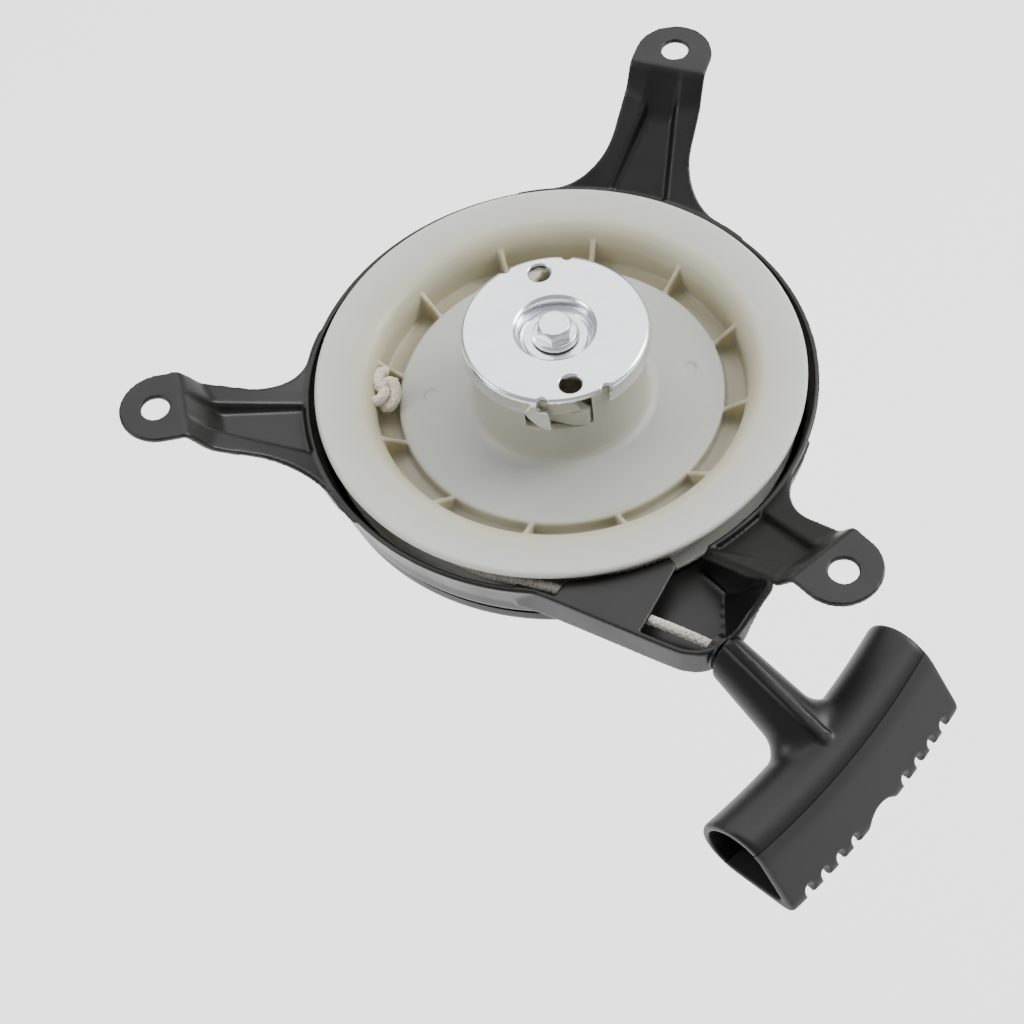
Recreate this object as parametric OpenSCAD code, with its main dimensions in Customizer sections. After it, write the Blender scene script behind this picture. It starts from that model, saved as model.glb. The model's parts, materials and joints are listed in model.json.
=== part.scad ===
// Recoil (pull) starter for a small engine: a pressed steel pan on three arms, a nylon
// rope reel with a mainspring, two pawls under a friction plate, and a T grip on the rope.
// The reel axis is Z, with the engine above. z = 0 is the outer face of the back cover.
// Every angle is counted from +X, counter-clockwise seen from the engine side.

/* [Mounting arms] */
// Radius of the bolt circle
bolt_circle_r = 122; // [118:0.5:126]
// Direction of the first arm
arm_first_angle = 64.2; // [60:0.1:68]
// Radius of the bolt hole in each ear
ear_hole_r = 4.3; // [3:0.1:4.5]
// Radius of the round end of an ear
ear_r = 12.5; // [11:0.5:14]
// Height of the face that lies on the engine
ear_top_z = 47.5; // [46:0.5:50]
// Thickness of the pressed sheet
sheet_t = 1.8; // [1.5:0.1:2]

/* [Pan] */
// Outer radius of the rim
pan_r = 79; // [78.6:0.1:80]
// Height of the rim
pan_top_z = 23.5; // [23:0.1:24]
// Radius of the back cover
cover_r = 75; // [74:0.5:76]

/* [Reel] */
// Radius of the upper flange
reel_r = 76; // [75.5:0.1:76.2]
// Outer radius of the drum that the rope lies on
drum_r = 60; // [59.5:0.1:60.2]
// Radius of the flat web
web_r = 50.7; // [50:0.1:51]
// Radius of the hub that holds the pawls
hub_r = 27; // [26.8:0.1:27.2]
// Number of fins between web and drum
fin_count = 12; // [6:1:16]
// Rope diameter
rope_d = 3.2; // [2.8:0.1:3.2]
// Turns of rope side by side
rope_turns = 3; // [2:1:3]

/* [Friction plate] */
// Outer radius
plate_r = 28.8; // [28.6:0.1:29]
// Height of the top face
plate_top_z = 48; // [47.5:0.1:48.5]
// Radius of each of the two small extruded holes
plate_hole_r = 3.3; // [2.5:0.1:3.5]

/* [Grip] */
// Length of the cross bar
grip_w = 82; // [78:1:90]
// Distance from the rope guide to the back of the cross bar
grip_l = 65; // [64:1:67]
// Heading of the grip, seen from the engine side
grip_heading = -44.8; // [-46:0.1:-43]
// How far the grip droops below the reel's plane
grip_droop = 32.9; // [30:0.1:35]

/* [Hidden] */
$fn = 96;
eps = 0.01;

// Colours
black_paint = [0.16, 0.16, 0.17];
nylon = [0.87, 0.86, 0.8];
zinc = [0.8, 0.83, 0.86];
steel = [0.6, 0.61, 0.63];
rope_white = [0.93, 0.91, 0.86];
black_rubber = [0.2, 0.2, 0.21];

// Heights of the pressed parts
cover_t = 1.5;
floor_z = cover_t;
floor_t = 1.5;
floor_top_z = floor_z + floor_t;
groove_r = 72.5;
groove_z = 6;
shoulder_z = 9.5;
shoulder_r = 76.8;

// Arms: the top line of the sheet, as [distance from the axis, height]
arm_start = pan_r - 1.4;
bend_in = 108;
bend_out = 113;
bend_in_z = 39.5;
arm_line = [[arm_start, pan_top_z - 1], [bend_in, bend_in_z], [bend_out, ear_top_z], [140, ear_top_z]];
channel_end = 104.2;
channel_line = [[arm_start, 20.5], [channel_end, 33.4], [bend_out, ear_top_z], [140, ear_top_z]];
channel_inner_w = 10.2;
channel_outer_w = 4.5;
rib_w = 1.8;

// Rope outlet box on the front of the pan
box_floor_z = 12.8;
box_top_z = pan_top_z - 0.2;
rope_z = 18.2;
box_arm = arm_first_angle + 240;
box_side = -12;
tab_inner_r = 74.8;

// Reel heights
reel_top_z = 27;
lower_flange_r = 73.5;
lower_flange_z = 11;
lower_flange_t = 1.8;
web_top_z = 17;
web_t = 2.4;
drum_inner_r = 57.5;
skirt_inner_r = 48.2;
skirt_bottom_z = 5.7;
hub_floor_z = 31;
hub_shelf_z = 40.2;
hub_top_z = 45.6;
hub_wall = 2.6;
boss_r = 11;
boss_top_z = 39.5;
fin_phase = -17.6;
fin_t = 1.5;
coil_r = drum_r + rope_d / 2 + 0.1;
coil_pitch = rope_d + 0.1;
knot_angle = 170;

// Post, bushing and bolt
post_r = 6;
post_top_z = 42.8;
arbor_r = 9;
arbor_top_z = 14;
bushing_r = 8;
bushing_bottom_z = 15.2;
bolt_r = 3;

// Friction plate
plate_t = 1.5;
flange_bottom_z = 41;
dish_r = 12.9;
dish_floor_r = 10.5;
dish_floor_z = 42.6;
claw_angle = 253;
claw_tip_z = 34.8;
plate_hole_circle = 22.4;
plate_hole_angle = 95;

// Pawls
pawl_circle = 18;
pawl_angle = 238;
pawl_len = 19.3;
pawl_z = 33;
pawl_t = 6;
pin_r = 2;

// Rope from the drum to the guide
lead_angle = -37.3;
lead_length = 88.2;
lead_clear = 22;
foot = coil_r * [cos(lead_angle - 90), sin(lead_angle - 90)];
guide_point = foot + lead_length * [cos(lead_angle), sin(lead_angle)];
wall_angle = -50;
guide_r = 4.35;

// Grip, in its own directions: u along the pull, v along the cross bar
bar_front_r = 12;
bar_back_r = 3.5;
bar_front_u = grip_l - 20.4;
bar_back_u = grip_l - bar_back_r;
bar_wall = 3;
grip_roll = 2.7;
neck_gap = 2;
neck_tip_r = 6.4;
neck_root_r = 7.8;
seat_u = 34;

function unit(v) = v / norm(v);
function left_of(v) = [-v[1], v[0]];
// Point i of an open line, moved sideways by d, with mitred corners
function mitre(line, i, d) =
    let (last = len(line) - 1,
         a = max(i, 1),
         b = min(i, last - 1),
         n1 = left_of(unit(line[a] - line[a - 1])),
         n2 = left_of(unit(line[b + 1] - line[b])))
    line[i] + d * (n1 + n2) / (1 + n1 * n2);
// Closed outline of a sheet whose one face is an open line
function sheet_outline(line, d) =
    concat(line, [for (i = [len(line) - 1:-1:0]) mitre(line, i, d)]);
function arc(c, r, a0, a1, n = 8) =
    [for (i = [0:n]) c + r * [cos(a0 + (a1 - a0) * i / n), sin(a0 + (a1 - a0) * i / n)]];
function polar(r, a) = r * [cos(a), sin(a)];

// ---------- pressed housing ----------

// Half width of an arm at distance a from the axis, flaring into the pan
function arm_half_w(a) = 13.4 + 10 * exp((pan_r - a) / 10);

module arm_outline() {
    ear_center = bolt_circle_r - 1.5;
    last = floor((ear_center - 75) / 3);
    polygon(concat([for (i = [0:last]) [72 + 3 * i, -arm_half_w(72 + 3 * i)]],
                   arc([ear_center, 0], ear_r, -90, 90, 24),
                   [for (i = [last:-1:0]) [72 + 3 * i, arm_half_w(72 + 3 * i)]]));
}

module channel_outline(extra = 0) {
    inner = channel_inner_w + extra;
    outer = channel_outer_w + extra;
    polygon([[70, -inner], [channel_end, -outer], [bend_out + eps, -outer],
             [bend_out + eps, outer], [channel_end, outer], [70, inner]]);
}

// A sheet that follows a line in the XZ plane, wide across Y
module strip(line) {
    rotate([90, 0, 0])
        linear_extrude(80, center = true)
            polygon(sheet_outline(line, -sheet_t));
}

// Everything between the channel's sheet and the arm's sheet
module rib_zone() {
    low = [for (i = [0:2]) mitre(channel_line, i, -sheet_t / 2)];
    high = [for (i = [2:-1:0]) mitre(arm_line, i, -sheet_t / 2)];
    rotate([90, 0, 0])
        linear_extrude(80, center = true)
            polygon(concat(low, high));
}

module arm() {
    difference() {
        union() {
            intersection() {
                strip(arm_line);
                linear_extrude(60)
                    difference() {
                        arm_outline();
                        channel_outline();
                    }
            }
            intersection() {
                strip(channel_line);
                linear_extrude(60)
                    channel_outline(rib_w / 2);
            }
            intersection() {
                rib_zone();
                linear_extrude(60)
                    difference() {
                        channel_outline(rib_w);
                        channel_outline();
                    }
            }
        }
        cylinder(r = arm_start, h = 60, $fn = 180);
        translate([bolt_circle_r, 0, 0])
            cylinder(r = ear_hole_r, h = 60);
    }
}

module pan() {
    outside = concat([[0, floor_z]],
                     arc([groove_r - 2, floor_z + 2], 2, -90, 0),
                     [[groove_r, groove_z]],
                     arc([shoulder_r - 2.2, shoulder_z + 0.4], 2.2, -60, -8),
                     [[pan_r, pan_top_z]]);
    inside = concat([[pan_r - floor_t, pan_top_z]],
                    arc([shoulder_r - 2.2, shoulder_z + 0.8], 0.8, -8, -60),
                    [[groove_r - floor_t, groove_z + 0.9]],
                    arc([groove_r - 2, floor_z + 2], 0.5, 0, -90),
                    [[0, floor_top_z]]);
    rotate_extrude($fn = 180)
        polygon(concat(outside, inside));
}

// Corners of the outlet box, from the pan along the front wall to the arm
function arm_point(a, s) = a * polar(1, box_arm) + s * polar(1, box_arm + 90);
box_line = [[-22, -74.8], [20, -104], [24.5, -106.6], [29.5, -106.5], [37.5, -99.8], [43.6, -97.3],
            arm_point(bend_in, box_side), arm_point(arm_start - 2, box_side)];
box_last = len(box_line) - 1;

// Space above the outlet box: level over the front, rising to the arm, and along the arm's sheet
module above_box() {
    below_arm = [for (i = [2:-1:0]) mitre(arm_line, i, -sheet_t / 2)];
    rotate([0, 0, box_arm]) {
        rotate([90, 0, 90])
            linear_extrude(140)
                polygon([[-90, box_top_z], [box_side - 13, box_top_z], [box_side - eps, bend_in_z], [box_side - eps, 60],
                         [-90, 60]]);
        rotate([90, 0, 0])
            linear_extrude(40, center = true)
                polygon(concat([[60, 60], [130, 60], [130, below_arm[0][1]]], below_arm, [[60, below_arm[2][1]]]));
    }
}

module outlet_box() {
    difference() {
        union() {
            translate([0, 0, box_floor_z])
                linear_extrude(sheet_t)
                    polygon(concat([for (i = [0:box_last]) mitre(box_line, i, sheet_t / 2)],
                                   [[20, -60], [-20, -62]]));
            translate([0, 0, box_floor_z])
                linear_extrude(bend_in_z - box_floor_z)
                    polygon(sheet_outline(box_line, sheet_t));
        }
        above_box();
        cylinder(r = shoulder_r - 1, h = 60, $fn = 180);
    }
}

// Flap folded in from the top of the front wall
module outlet_tab() {
    difference() {
        translate([0, 0, box_top_z - 0.3 - sheet_t])
            linear_extrude(sheet_t)
                polygon([[-19.4, -75.8], [9.6, -96], [12.4, -94], [24.8, -75.5], [24.6, -73], [21, -70], [-18, -72]]);
        cylinder(r = tab_inner_r, h = 60, $fn = 180);
    }
}

module housing() {
    color(black_paint)
        difference() {
            union() {
                difference() {
                    pan();
                    translate([0, 0, box_floor_z + sheet_t + 0.2])
                        linear_extrude(30)
                            polygon([[-17.5, -70], [-17, -85], [40, -90], arm_point(arm_start + 3, box_side - 1),
                                     arm_point(68, box_side - 1)]);
                }
                for (k = [0:2])
                    rotate([0, 0, arm_first_angle + 120 * k])
                        arm();
                outlet_box();
                outlet_tab();
            }
            translate([guide_point[0], guide_point[1], rope_z])
                rotate([0, 90, wall_angle])
                    cylinder(r = guide_r + 0.05, h = 12, center = true);
        }
}

module back_cover() {
    outside = concat([[0, 0]], arc([cover_r - 3, 3], 3, -90, 0), [[cover_r, 5.3]]);
    inside = concat([[cover_r - 1.3, 5.3]], arc([cover_r - 3, 3], 1.7, 0, -60, 5), [[cover_r - 3, cover_t],
                    [0, cover_t]]);
    color(black_paint)
        rotate_extrude($fn = 180)
            polygon(concat(outside, inside));
}

// Flared eyelet in the exit wall, with its collar outside
module rope_guide() {
    color(black_paint)
        translate([guide_point[0], guide_point[1], rope_z])
            rotate([0, 90, wall_angle])
                rotate_extrude()
                    difference() {
                        union() {
                            translate([2.4, -1.75])
                                square([guide_r - 2.4, 3.5]);
                            translate([4, 0.95])
                                square([1.6, 0.8]);
                        }
                        for (y = [-1.75, 1.75])
                            translate([2.4, y])
                                circle(r = 0.7);
                    }
}

// ---------- post, spring and bearing ----------

module center_post() {
    color(steel)
        difference() {
            union() {
                translate([0, 0, floor_top_z])
                    cylinder(r = 15, h = 1.5);
                translate([0, 0, floor_top_z])
                    cylinder(r = arbor_r, h = arbor_top_z - floor_top_z);
                translate([0, 0, floor_top_z])
                    cylinder(r = post_r, h = post_top_z - floor_top_z);
            }
            translate([0, 0, 24])
                cylinder(r = bolt_r, h = 30);
            translate([arbor_r - 2, -0.5, 6])
                cube([3, 1, 20]);
        }
}

module thrust_washer() {
    color(steel)
        translate([0, 0, arbor_top_z])
            difference() {
                cylinder(r = 9.5, h = 1);
                translate([0, 0, -1])
                    cylinder(r = post_r, h = 3);
            }
}

// Flat strip wound as half circles whose radius grows by half a pitch each time
module mainspring() {
    strip_t = 0.6;
    strip_h = 8;
    half_turns = 26;
    grow = 1.4;
    first_r = arbor_r + 0.6;
    color(steel)
        translate([0, 0, 6.2])
            for (i = [0:half_turns - 1])
                translate([(i % 2 == 0 ? 0 : grow), 0, 0])
                    rotate([0, 0, 180 * (i % 2)])
                        rotate_extrude(angle = 180)
                            translate([first_r + grow * i, 0])
                                square([strip_t, strip_h]);
}

module spring_anchor_pin() {
    color(steel)
        translate([47.45, -0.6, skirt_bottom_z])
            cylinder(r = 0.7, h = web_top_z - web_t - skirt_bottom_z);
}

module spring_cover() {
    color(zinc)
        translate([0, 0, skirt_bottom_z - 0.8])
            difference() {
                cylinder(r = web_r - 0.4, h = 0.8);
                translate([0, 0, -1])
                    cylinder(r = 16.2, h = 3);
            }
}

module reel_bushing() {
    color(steel)
        translate([0, 0, bushing_bottom_z])
            difference() {
                cylinder(r = bushing_r, h = boss_top_z - bushing_bottom_z);
                translate([0, 0, -1])
                    cylinder(r = post_r + 0.06, h = 60);
            }
}

// ---------- reel ----------

module reel_section() {
    // drum with the bell-mouthed upper flange
    polygon(concat([[drum_inner_r, lower_flange_z], [drum_inner_r, 19]],
                   arc([drum_inner_r + 7.5, 19], 7.5, 180, 97),
                   arc([reel_r - 1.3, reel_top_z - 1.3], 1.3, 90, -75),
                   [[drum_r + 1.5, 24.3], [drum_r, 23.2], [drum_r, lower_flange_z]]));
    // lower flange and the floor between the fins
    translate([skirt_inner_r, lower_flange_z])
        square([lower_flange_r - skirt_inner_r, lower_flange_t]);
    // skirt and web
    translate([skirt_inner_r, skirt_bottom_z])
        square([web_r - skirt_inner_r, web_top_z - skirt_bottom_z - 0.6]);
    polygon([[boss_r - 1, web_top_z - web_t], [web_r, web_top_z - web_t], [web_r, web_top_z - 0.6],
             [web_r - 0.6, web_top_z], [boss_r - 1, web_top_z]]);
    // hub wall with a flared foot
    polygon([[hub_r - hub_wall, web_top_z - web_t], [hub_r + 3.2, web_top_z - eps], [hub_r + 1.2, web_top_z + 0.8],
             [hub_r + 0.3, web_top_z + 2.4], [hub_r, web_top_z + 5], [hub_r, hub_shelf_z],
             [hub_r - 0.4, hub_shelf_z + 0.3], [hub_r - 0.4, hub_top_z], [hub_r - hub_wall, hub_top_z]]);
    // floor under the pawls, and the boss
    translate([boss_r - 1, hub_floor_z - 2])
        square([hub_r - hub_wall - boss_r + 1.5, 2]);
    translate([bushing_r, bushing_bottom_z])
        square([boss_r - bushing_r, boss_top_z - bushing_bottom_z]);
}

module fin() {
    rotate([90, 0, 0])
        linear_extrude(fin_t, center = true)
            polygon([[web_r - 0.3, lower_flange_z + 0.5], [drum_inner_r + 0.5, lower_flange_z + 0.5],
                     [drum_inner_r + 0.5, 22.3], [web_r - 0.3, web_top_z - 0.7]]);
}

// Opening through the hub wall that a pawl swings out of, cut up to the rim at the pawl's nose
module pawl_window() {
    rotate([0, 0, pawl_angle + 33])
        translate([hub_r - 8, 0, 0])
            rotate([90, 0, 90])
                linear_extrude(12)
                    polygon([[-13, hub_shelf_z - 0.6], [-13, pawl_z - 0.5], [7.2, pawl_z - 0.5],
                             [7.2, hub_top_z + 1], [0.6, hub_top_z + 1], [0.6, hub_top_z - 2],
                             [3.9, hub_shelf_z - 0.6]]);
}

module reel() {
    color(nylon)
        difference() {
            union() {
                rotate_extrude($fn = 180)
                    reel_section();
                for (k = [0:fin_count - 1])
                    rotate([0, 0, fin_phase + k * 360 / fin_count])
                        fin();
                for (k = [0, 1])
                    rotate([0, 0, pawl_angle + 180 * k])
                        translate([pawl_circle, 0, hub_floor_z - eps])
                            cylinder(r = 4, h = pawl_z - hub_floor_z - 0.3);
            }
            for (k = [0, 1])
                rotate([0, 0, 180 * k]) {
                    pawl_window();
                    rotate([0, 0, pawl_angle])
                        translate([pawl_circle, 0, hub_floor_z - 4])
                            cylinder(r = pin_r, h = 12);
                }
            // hole that the rope is knotted behind, and the gap in the web beside it
            rotate([0, 90, knot_angle])
                translate([-rope_z, 0, drum_inner_r - 2])
                    cylinder(r = rope_d / 2 + 0.1, h = 8);
            // shallow gate marks on the web
            for (a = [3, 172])
                rotate([0, 0, a])
                    translate([40.5, 0, web_top_z - 0.4])
                        cylinder(r = 2.6, h = 2);
        }
}

module rope_coil() {
    color(rope_white)
        for (k = [0:rope_turns - 1])
            translate([0, 0, rope_z + (k - (rope_turns - 1) / 2) * coil_pitch])
                rotate_extrude($fn = 120)
                    translate([coil_r, 0])
                        circle(r = rope_d / 2, $fn = 24);
}

// Overhand knot lying between two fins, with its end through the drum wall
module reel_knot() {
    knot_r = 3.1;
    color(rope_white)
        rotate([0, 0, knot_angle])
            translate([54.1, 0, rope_z]) {
                for (s = [-1, 1])
                    translate([0, s * 2.6, 0])
                        sphere(r = knot_r, $fn = 32);
                rotate([90, 0, 0])
                    cylinder(r = knot_r, h = 5.2, center = true);
                translate([0, 2.6, 1.8])
                    rotate([-60, 0, 0])
                        cylinder(r = rope_d / 2, h = 6.5);
                rotate([0, 90, 0])
                    cylinder(r = rope_d / 2, h = drum_r - 54.1);
            }
}

// ---------- rope to the guide ----------

// Centre line from the drum, through the guide, to the start of the grip's rope
lead_route = [
    for (t = [lead_clear, 33, 44, 55, 66, 77, 84]) foot + t * polar(1, lead_angle),
    guide_point + polar(3, lead_angle + 180),
    guide_point,
    guide_point + polar(1.5, grip_heading)
];

function ring(c, heading, r, n) =
    [for (i = [0:n - 1])
        let (side = r * cos(360 * i / n) * polar(1, heading + 90))
        [c[0] + side[0], c[1] + side[1], rope_z + r * sin(360 * i / n)]];
function heading_at(line, i) =
    let (d = line[min(i + 1, len(line) - 1)] - line[max(i - 1, 0)])
    atan2(d[1], d[0]);

// Closed tube along a level route
module level_tube(line, r, n = 8) {
    last = len(line) - 1;
    points = [for (i = [0:last]) each ring(line[i], heading_at(line, i), r, n)];
    sides = [for (i = [0:last - 1], j = [0:n - 1])
        [i * n + j, i * n + (j + 1) % n, (i + 1) * n + (j + 1) % n, (i + 1) * n + j]];
    polyhedron(points, concat([[for (j = [n - 1:-1:0]) j]], sides, [[for (j = [0:n - 1]) last * n + j]]));
}

module rope_lead() {
    color(rope_white)
        level_tube(lead_route, rope_d / 2);
}

// ---------- pawls and friction plate ----------

module pawl_pins() {
    color(steel)
        for (k = [0, 1])
            rotate([0, 0, pawl_angle + 180 * k])
                translate([pawl_circle, 0, hub_floor_z - 2])
                    cylinder(r = pin_r, h = pawl_z + pawl_t + 1.2 - hub_floor_z + 2);
}

// Pawl at rest: a drilled end on its pin and a nose that points out of the window
module pawl() {
    rotate([0, 0, pawl_angle])
        translate([pawl_circle, 0, pawl_z])
            rotate([0, 0, 90])
                difference() {
                    union() {
                        cylinder(r = 4.3, h = pawl_t);
                        linear_extrude(pawl_t)
                            polygon([[-1, -4.2], [9, -4.4], [pawl_len - 4, -3.6], [pawl_len, -1.4],
                                     [pawl_len, 0.6], [12, 2.6], [0, 4.2]]);
                    }
                    translate([0, 0, -1])
                        cylinder(r = pin_r + 0.06, h = pawl_t + 2);
                }
}

module pawl_1() {
    color(nylon)
        pawl();
}

module pawl_2() {
    color(nylon)
        rotate([0, 0, 180])
            pawl();
}

// Small wire coil on the pin above the pawl, with one leg
module pawl_spring() {
    wire = 0.35;
    rotate([0, 0, pawl_angle])
        translate([pawl_circle, 0, pawl_z + pawl_t + 0.45]) {
            rotate_extrude($fn = 64)
                translate([pin_r + 0.6, 0])
                    circle(r = wire, $fn = 48);
            translate([0, pin_r + 0.6, 0])
                rotate([-90, 0, 0])
                    cylinder(r = wire, h = 7);
        }
}

module pawl_spring_1() {
    color(zinc)
        pawl_spring();
}

module pawl_spring_2() {
    color(zinc)
        rotate([0, 0, 180])
            pawl_spring();
}

module friction_spring() {
    color(steel)
        translate([0, 0, boss_top_z])
            difference() {
                cylinder(r = 9.8, h = 1.2);
                translate([0, 0, -1])
                    cylinder(r = post_r + 0.4, h = 4);
                for (k = [0:2])
                    rotate([0, 0, 120 * k])
                        translate([7, -3, 0.6])
                            cube([6, 6, 2]);
            }
}

module plate_disc() {
    rotate_extrude($fn = 120)
        polygon(concat([[post_r + 0.08, dish_floor_z - plate_t], [post_r + 0.08, dish_floor_z]],
                       [[dish_floor_r - 0.8, dish_floor_z], [dish_floor_r + 0.3, dish_floor_z + 0.7],
                        [dish_r - 1, plate_top_z - 0.7], [dish_r, plate_top_z]],
                       [[plate_r - 1.3, plate_top_z], [plate_r - 0.6, plate_top_z - 0.4],
                        [plate_r - 0.3, plate_top_z - plate_t]],
                       [[dish_r + 1, plate_top_z - plate_t], [dish_r, plate_top_z - plate_t - 0.8],
                        [dish_floor_r + 1.5, dish_floor_z - 0.4], [dish_floor_r, dish_floor_z - plate_t]]));
}

// Folded edge, over one of the two long arcs
module plate_flange() {
    rotate([0, 0, 117])
        rotate_extrude(angle = 137, $fn = 120)
            polygon([[plate_r - plate_t, flange_bottom_z], [plate_r, flange_bottom_z], [plate_r, plate_top_z - 1.4],
                     [plate_r - 0.45, plate_top_z - 0.4], [plate_r - 1.4, plate_top_z],
                     [plate_r - plate_t, plate_top_z]]);
}

// Talon that hangs from the end of the folded edge and holds a pawl in
module claw() {
    rotate([0, 0, claw_angle])
        translate([plate_r - plate_t + 0.3, 0, 0])
            rotate([90, 0, 90])
                linear_extrude(plate_t)
                    polygon([[-4.5, flange_bottom_z + 1], [-3.2, flange_bottom_z - 1.6], [-0.5, claw_tip_z + 1.2],
                             [2.2, claw_tip_z], [3.3, claw_tip_z + 0.4], [2.9, flange_bottom_z],
                             [2, plate_top_z - 2], [-2, plate_top_z - 2]]);
}

module friction_plate() {
    color(zinc)
        difference() {
            union() {
                plate_disc();
                for (k = [0, 1])
                    rotate([0, 0, 180 * k]) {
                        plate_flange();
                        claw();
                        rotate([0, 0, plate_hole_angle])
                            translate([plate_hole_circle, 0, plate_top_z - 2.1])
                                cylinder(r = plate_hole_r + 0.9, h = 1.9);
                    }
            }
            for (k = [0, 1])
                rotate([0, 0, 180 * k]) {
                    rotate([0, 0, plate_hole_angle])
                        translate([plate_hole_circle, 0, 40]) {
                            cylinder(r = plate_hole_r, h = 20);
                            translate([0, 0, plate_top_z - 40 - 0.5])
                                cylinder(r1 = plate_hole_r, r2 = plate_hole_r + 0.6, h = 0.6);
                        }
                    for (a = [75.3, 115.8])
                        rotate([0, 0, a])
                            translate([plate_r - 0.2, 0, 43])
                                cylinder(r = 1.7, h = 20);
                }
        }
}

// ---------- bolt ----------

module plate_washer() {
    color(zinc)
        translate([0, 0, post_top_z])
            difference() {
                cylinder(r = 9.6, h = 1.2);
                translate([0, 0, -1])
                    cylinder(r = bolt_r + 0.2, h = 4);
            }
}

module lock_washer() {
    color(steel)
        translate([0, 0, post_top_z + 1.2])
            difference() {
                cylinder(r = 5.6, h = 0.8);
                translate([0, 0, -1])
                    cylinder(r = bolt_r + 0.2, h = 4);
                translate([0, -0.3, -1])
                    cube([10, 0.6, 4]);
            }
}

module center_bolt() {
    head_z = post_top_z + 2;
    color(zinc) {
        translate([0, 0, 26])
            cylinder(r = bolt_r, h = head_z - 26 + eps);
        translate([0, 0, head_z])
            cylinder(r1 = 7.4, r2 = 6.4, h = 1.2);
        translate([0, 0, head_z + 1.2 - eps])
            intersection() {
                rotate([0, 0, 15])
                    cylinder(r = 5.77, h = 4, $fn = 6);
                cylinder(r1 = 8.6, r2 = 4.6, h = 4.01);
            }
    }
}

// ---------- grip ----------

// Puts a child drawn along +X, with the guide at the origin, where the grip is
module at_grip() {
    translate([guide_point[0], guide_point[1], rope_z])
        rotate([0, 0, grip_heading])
            rotate([0, grip_droop, 0])
                rotate([grip_roll, 0, 0])
                    children();
}

// Everything behind a plane just in front of the exit wall, so that the neck's mouth seats flat on it
module behind_wall() {
    translate([guide_point[0], guide_point[1], rope_z])
        rotate([0, 0, wall_angle])
            translate([neck_gap - 30, -25, -25])
                cube([30, 50, 50]);
}

// Tapered round-ended section of the cross bar: a large arc in front and a small one at the back
module bar_section(front_r, back_u, back_r) {
    lean = acos((front_r - back_r) / (back_u - bar_front_u));
    polygon(concat(arc([bar_front_u, 0], front_r, lean, 360 - lean, 40),
                   arc([back_u, 0], back_r, -lean, lean, 12)));
}

module grip() {
    color(black_rubber)
        difference() {
            at_grip()
                difference() {
                    union() {
                        rotate([90, 0, 0])
                            linear_extrude(grip_w, center = true)
                                bar_section(bar_front_r, bar_back_u, bar_back_r);
                        translate([-3, 0, 0])
                            rotate([0, 90, 0])
                                cylinder(r1 = neck_tip_r, r2 = neck_root_r, h = seat_u + 6);
                        for (z = [-neck_root_r - 0.2, neck_root_r - 1.2])
                            translate([5, -1.2, z])
                                cube([seat_u - 5, 2.4, 1.4]);
                    }
                    rotate([90, 0, 0])
                        linear_extrude(grip_w + 2, center = true)
                            bar_section(bar_front_r - bar_wall, bar_back_u - 3.2, bar_back_r - 1.6);
                    translate([-8, 0, 0])
                        rotate([0, 90, 0])
                            cylinder(r = rope_d / 2 + 0.6, h = 60);
                    translate([seat_u, 0, 0])
                        rotate([0, 90, 0])
                            cylinder(r = 7, h = 6);
                    for (side = [-1, 1], k = [0:3])
                        translate([grip_l - 1.2, side * (12.3 + 6.9 * k), -20])
                            cylinder(r = 1.9, h = 40);
                    translate([grip_l + 5.6, 0, -20])
                        cylinder(r = 9, h = 40);
                }
            behind_wall();
        }
}

module grip_rope() {
    color(rope_white)
        at_grip()
            translate([4.5, 0, 0])
                rotate([0, 90, 0])
                    cylinder(r = rope_d / 2, h = seat_u - 3);
}

module grip_washer() {
    color(zinc)
        at_grip()
            translate([seat_u, 0, 0])
                rotate([0, 90, 0])
                    difference() {
                        cylinder(r = 6.6, h = 1.5);
                        translate([0, 0, -1])
                            cylinder(r = rope_d / 2 + 0.2, h = 4);
                    }
}

module grip_knot() {
    color(rope_white)
        at_grip()
            for (s = [-1, 1])
                translate([seat_u + 5.2, s * 1.6, 0])
                    sphere(r = 3.6);
}

housing();
back_cover();
rope_guide();
center_post();
thrust_washer();
mainspring();
spring_anchor_pin();
spring_cover();
reel();
reel_bushing();
rope_coil();
reel_knot();
rope_lead();
pawl_pins();
pawl_1();
pawl_2();
pawl_spring_1();
pawl_spring_2();
friction_spring();
friction_plate();
plate_washer();
lock_washer();
center_bolt();
grip();
grip_rope();
grip_washer();
grip_knot();
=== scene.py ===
"""Looks of the recoil starter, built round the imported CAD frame.

Lengths in the helpers are in millimetres and become metres through MM. The reel's axis is Z, and
angles are in degrees from +X, counter-clockwise seen from the engine side.
"""
import json
import math

import bpy
import bmesh
import numpy as np
from mathutils import Matrix, Vector


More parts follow.
